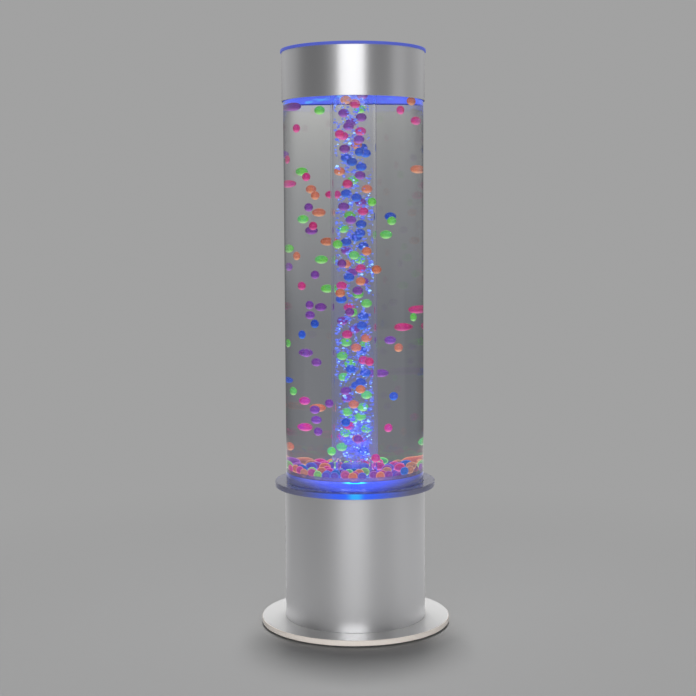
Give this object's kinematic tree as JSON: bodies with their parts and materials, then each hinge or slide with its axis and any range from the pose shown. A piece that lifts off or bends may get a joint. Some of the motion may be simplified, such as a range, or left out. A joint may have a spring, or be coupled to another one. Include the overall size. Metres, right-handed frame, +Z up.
{
  "type": "bubble tube floor lamp",
  "caption": "Floor lamp with a water column of coloured beads round a bubbling riser, lit from a metal plinth on a round base plate, under a lift-off metal cap.",
  "frame": {"origin": "on the floor, on the axis of the water column", "axes": "+Z up along the column; +Y towards the back, where the power inlet and the switch are; +X to the viewer's right from the front"},
  "size_m": [0.274, 0.274, 0.8275],
  "materials": {
    "clear_plastic": "polished",
    "plinth_acrylic": "polished",
    "lid_acrylic": "polished",
    "satin_metal": "satin",
    "white_acrylic": "gloss",
    "black_rubber": "matte",
    "seal_rubber": "matte",
    "steel": "satin",
    "plain_aluminium": "satin",
    "brass": "satin",
    "grey_plastic": "satin",
    "white_plastic": "satin",
    "dark_plastic": "matte",
    "black_plastic": "satin",
    "hose_plastic": "satin",
    "green_board": "satin",
    "white_board": "satin",
    "lamp_yellow": "gloss",
    "lens_plastic": "polished",
    "lead_sheath": "satin",
    "green_bead": "gloss",
    "pink_bead": "gloss",
    "blue_bead": "gloss",
    "purple_bead": "gloss",
    "orange_bead": "gloss"
  },
  "bodies": {
    "stand": {"rubber_feet": "black_rubber", "base_plate": "white_acrylic", "plate_screws": "steel", "bottom_ring": "plain_aluminium", "frame_pillars": "steel", "housing_sleeve": "satin_metal", "top_ring": "plain_aluminium", "ring_screws": "steel", "flange_screws": "steel", "clear_flange": "plinth_acrylic", "floor_disc": "plinth_acrylic", "floor_seal": "seal_rubber", "water_column": "clear_plastic", "riser_foot": "clear_plastic", "riser_tube": "clear_plastic", "riser_spider": "clear_plastic", "air_inlet": "brass", "inlet_seals": "black_rubber", "inlet_nut": "brass", "bubble_head": "grey_plastic", "light_board": "white_board", "lamp_chips": "lamp_yellow", "lamp_lenses": "lens_plastic", "heat_sink": "plain_aluminium", "sink_screws": "steel", "pump_feet": "black_rubber", "pump_case": "dark_plastic", "pump_cover": "grey_plastic", "pump_outlet": "white_plastic", "pump_strap": "steel", "strap_screws": "steel", "lower_hose": "hose_plastic", "check_valve": "white_plastic", "upper_hose": "hose_plastic", "control_board": "green_board", "board_posts": "steel", "board_parts": "dark_plastic", "power_inlet": "black_plastic", "inlet_lock_nut": "steel", "switch_frame": "black_plastic", "power_lead": "lead_sheath", "switch_lead": "lead_sheath", "light_lead": "lead_sheath", "pump_lead": "lead_sheath", "green_beads": "green_bead", "pink_beads": "pink_bead", "blue_beads": "blue_bead", "purple_beads": "purple_bead", "orange_beads": "orange_bead"},
    "cap": {"cap_sleeve": "satin_metal", "lid_disc": "lid_acrylic", "cap_collar": "plain_aluminium", "rim_pads": "black_rubber"},
    "rocker": {"switch_rocker": "black_plastic"}
  },
  "joints": [
    {"name": "cap_lift", "type": "slide", "parent": "stand", "child": "cap", "axis": [0, 0, 1], "range_m": [0, 0.09]},
    {"name": "rocker_tilt", "type": "hinge", "parent": "stand", "child": "rocker", "pos_m": [0, 0.1, 0.0845], "axis": [1, 0, 0], "range_deg": [0, 16]}
  ]
}
